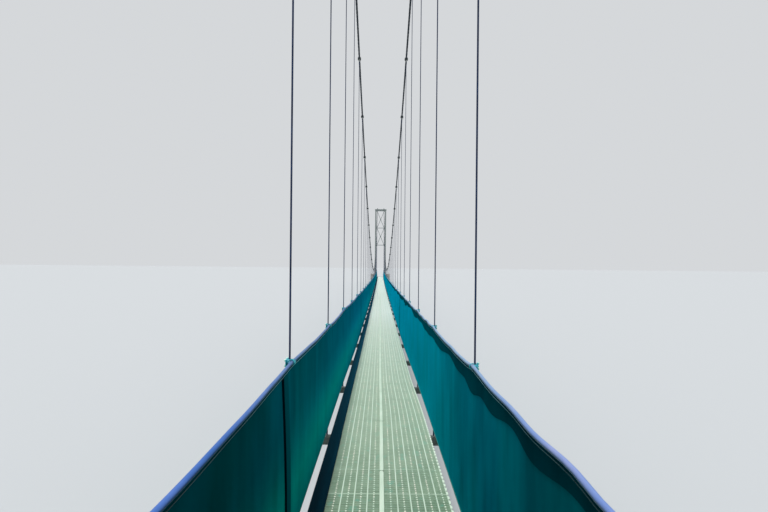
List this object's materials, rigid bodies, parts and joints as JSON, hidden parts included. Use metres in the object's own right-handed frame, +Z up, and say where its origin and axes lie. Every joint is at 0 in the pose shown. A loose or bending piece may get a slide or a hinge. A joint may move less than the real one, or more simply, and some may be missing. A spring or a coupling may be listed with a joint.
{
  "type": "rope suspension footbridge, 1:10 scale model",
  "caption": "Long narrow rope suspension footbridge: grating deck hung from two main cables over portal towers, with handrail cables and net screens, as a scale model.",
  "frame": {"origin": "on the floor under mid-span, on the bridge's centre line", "axes": "+Y along the bridge towards the far end, +X to the right of a walker who crosses towards +Y, +Z up"},
  "size_m": [0.4, 11.2, 1.3123],
  "materials": {
    "grating": "moulded or galvanised grating, pale mint, worn matt",
    "centre_bar": "pale flat bar, worn matt",
    "edge_strip": "dark navy flat strip, smooth",
    "frame_steel": "galvanised steel sections, dull",
    "tower_steel": "galvanised steel box sections, pale grey",
    "cast_steel": "cast steel, galvanised, dull",
    "cable": "galvanised wire rope, weathered dark",
    "hanger": "thin dark blue-grey rods",
    "clamp": "teal painted clamps and lashings",
    "rail_sheath": "lavender-blue plastic sheath over wire rope",
    "net": "woven teal shade net",
    "concrete": "cast concrete, board marked, weathered"
  },
  "bodies": {
    "root": {"deck_grating_1": "grating", "deck_grating_2": "grating", "deck_grating_3": "grating", "deck_grating_4": "grating", "deck_grating_5": "grating", "deck_frame_1": "frame_steel", "deck_frame_2": "frame_steel", "deck_frame_3": "frame_steel", "deck_frame_4": "frame_steel", "deck_frame_5": "frame_steel", "centre_strip": "centre_bar", "left_edge_strip": "edge_strip", "left_handrail_and_hangers": "rail_sheath", "left_net_screen_1": "net", "left_net_screen_2": "net", "left_net_screen_3": "net", "left_main_cable": "cable", "right_handrail_and_hangers": "rail_sheath", "right_net_screen_1": "net", "right_net_screen_2": "net", "right_net_screen_3": "net", "right_main_cable": "cable", "near_tower_left_leg": "tower_steel", "near_saddle_left": "cast_steel", "near_left_anchor_block": "concrete", "near_left_anchor_socket": "cast_steel", "near_tower_right_leg": "tower_steel", "near_saddle_right": "cast_steel", "near_right_anchor_block": "concrete", "near_right_anchor_socket": "cast_steel", "near_tower_top_beam": "tower_steel", "near_tower_bracing": "tower_steel", "near_abutment": "concrete", "far_tower_left_leg": "tower_steel", "far_saddle_left": "cast_steel", "far_left_anchor_block": "concrete", "far_left_anchor_socket": "cast_steel", "far_tower_right_leg": "tower_steel", "far_saddle_right": "cast_steel", "far_right_anchor_block": "concrete", "far_right_anchor_socket": "cast_steel", "far_tower_top_beam": "tower_steel", "far_tower_bracing": "tower_steel", "far_abutment": "concrete"}
  },
  "joints": []
}
